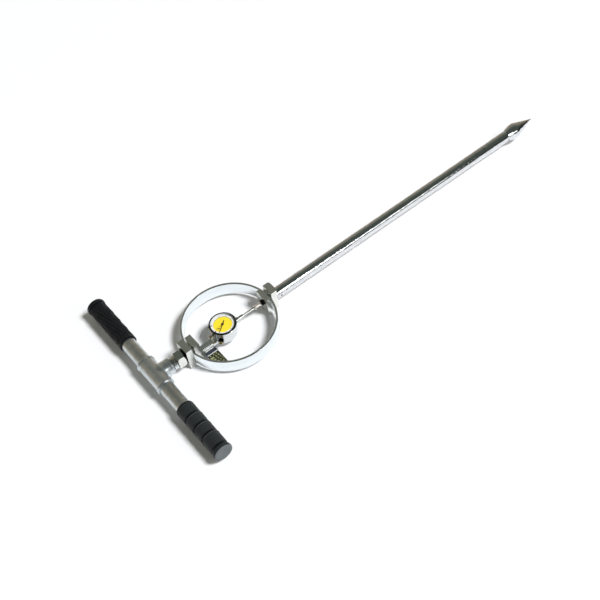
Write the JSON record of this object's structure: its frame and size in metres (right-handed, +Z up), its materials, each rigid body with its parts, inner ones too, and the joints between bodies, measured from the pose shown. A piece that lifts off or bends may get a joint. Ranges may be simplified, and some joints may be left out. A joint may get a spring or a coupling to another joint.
{
  "type": "soil penetrometer",
  "caption": "Hand-pushed soil penetrometer with a T handle, proving ring, dial gauge, marked rod and screwed cone point.",
  "frame": {"origin": "on the floor under the middle of the tool's length and width, the tool lying with its dial up", "axes": "+X along the rod from the handle to the cone, +Y along the handle, +Z up through the dial"},
  "size_m": [0.999, 0.44, 0.052],
  "materials": {
    "grip_rubber": "moulded black rubber, faint sheen",
    "galvanised_steel": "satin galvanised pipe and fitting",
    "bright_zinc": "bright zinc plate on rolled spring steel",
    "machined_steel": "milled and zinc plated steel",
    "rod_steel": "drawn and zinc plated steel bar",
    "screw_steel": "plated steel screws and rivets",
    "black_oxide": "black oxide",
    "bracket_metal": "milled bar, polished top",
    "gauge_chrome": "satin chrome",
    "gauge_steel": "ground stainless steel",
    "brass": "turned brass",
    "dial_yellow": "yellow printed dial",
    "scale_white": "white scale ring with black divisions",
    "hand_black": "black hands",
    "crystal": "clear acrylic crystal",
    "plate_black": "black printed plate with pale bars"
  },
  "bodies": {
    "handle_side": {"grip_left": "grip_rubber", "grip_right": "grip_rubber", "handle_tube_left": "galvanised_steel", "handle_tube_right": "galvanised_steel", "pipe_tee": "galvanised_steel", "nipple": "galvanised_steel", "lock_nut": "machined_steel", "spring_washer": "black_oxide", "handle_outer_block": "machined_steel", "handle_inner_block": "machined_steel", "handle_clamp_screws": "screw_steel", "proving_ring": "bright_zinc", "gauge_bracket": "bracket_metal", "bracket_screws": "screw_steel", "rating_plate": "plate_black", "plate_rivets": "screw_steel", "gauge_fixing_screw": "screw_steel", "gauge_case": "gauge_chrome", "back_cover": "gauge_chrome", "cover_screws": "screw_steel", "gauge_stem": "gauge_steel", "dust_cap": "brass", "movement_plate": "brass", "dial_face": "dial_yellow", "return_spring": "gauge_steel", "bezel_clamp": "black_oxide"},
    "plunger_body": {"plunger": "gauge_steel", "spring_pin": "gauge_steel", "contact_point": "gauge_steel"},
    "counter_arbor": {"rack_pinion": "brass", "drive_wheel": "brass", "counter_pointer": "hand_black"},
    "pointer_arbor": {"centre_pinion": "brass", "main_pointer": "hand_black"},
    "bezel_body": {"bezel": "gauge_chrome", "crystal": "crystal", "scale_ring": "scale_white"},
    "marker_low": {"limit_marker_low": "black_oxide"},
    "marker_high": {"limit_marker_high": "black_oxide"},
    "clamp_knob": {"clamp_screw": "brass"},
    "rod_side": {"rod_inner_block": "machined_steel", "rod_outer_block": "machined_steel", "rod_clamp_screws": "screw_steel", "anvil_nut": "black_oxide", "rod": "rod_steel", "cone_holder": "rod_steel"},
    "anvil": {"anvil_screw": "screw_steel"},
    "cone_point": {"cone": "rod_steel"}
  },
  "joints": [
    {"name": "ring_load", "type": "slide", "parent": "handle_side", "child": "rod_side", "axis": [-1, 0, 0], "range_m": [0, 0.0025], "stiffness_N_per_m": 380000, "deforming": ["proving_ring"]},
    {"name": "plunger_slide", "type": "slide", "parent": "handle_side", "child": "plunger_body", "axis": [-1, 0, 0], "range_m": [0, 0.0025], "deforming": ["return_spring"]},
    {"name": "counter_spin", "type": "hinge", "parent": "handle_side", "child": "counter_arbor", "pos_m": [-0.33369, -0.00259, 0.026], "axis": [0, 0, 1], "range_deg": [0, 90]},
    {"name": "pointer_spin", "type": "hinge", "parent": "handle_side", "child": "pointer_arbor", "pos_m": [-0.323, 0, 0.026], "axis": [0, 0, 1], "range_deg": [-900, 0]},
    {"name": "bezel_turn", "type": "hinge", "parent": "handle_side", "child": "bezel_body", "pos_m": [-0.323, 0, 0.026], "axis": [0, 0, 1], "continuous": true},
    {"name": "marker_low_set", "type": "hinge", "parent": "bezel_body", "child": "marker_low", "pos_m": [-0.323, 0, 0.026], "axis": [0, 0, 1], "range_deg": [-15, 150]},
    {"name": "marker_high_set", "type": "hinge", "parent": "bezel_body", "child": "marker_high", "pos_m": [-0.323, 0, 0.026], "axis": [0, 0, 1], "range_deg": [-150, 15]},
    {"name": "clamp_knob_turn", "type": "hinge", "parent": "handle_side", "child": "clamp_knob", "pos_m": [-0.34421, -0.02121, 0.0266], "axis": [-0.7071, -0.7071, 0], "range_deg": [0, 180]},
    {"name": "anvil_turn", "type": "hinge", "parent": "rod_side", "child": "anvil", "pos_m": [-0.2405, 0, 0.026], "axis": [1, 0, 0], "range_deg": [-180, 180]},
    {"name": "cone_pull", "type": "slide", "parent": "rod_side", "child": "cone_point", "axis": [1, 0, 0], "range_m": [0, 0.018]}
  ],
  "couplings": [
    {"joint": "plunger_slide", "follows": "ring_load", "ratio": 1},
    {"joint": "counter_spin", "follows": "ring_load", "rad_per_m": 628.32},
    {"joint": "pointer_spin", "follows": "ring_load", "rad_per_m": -6283.2}
  ]
}
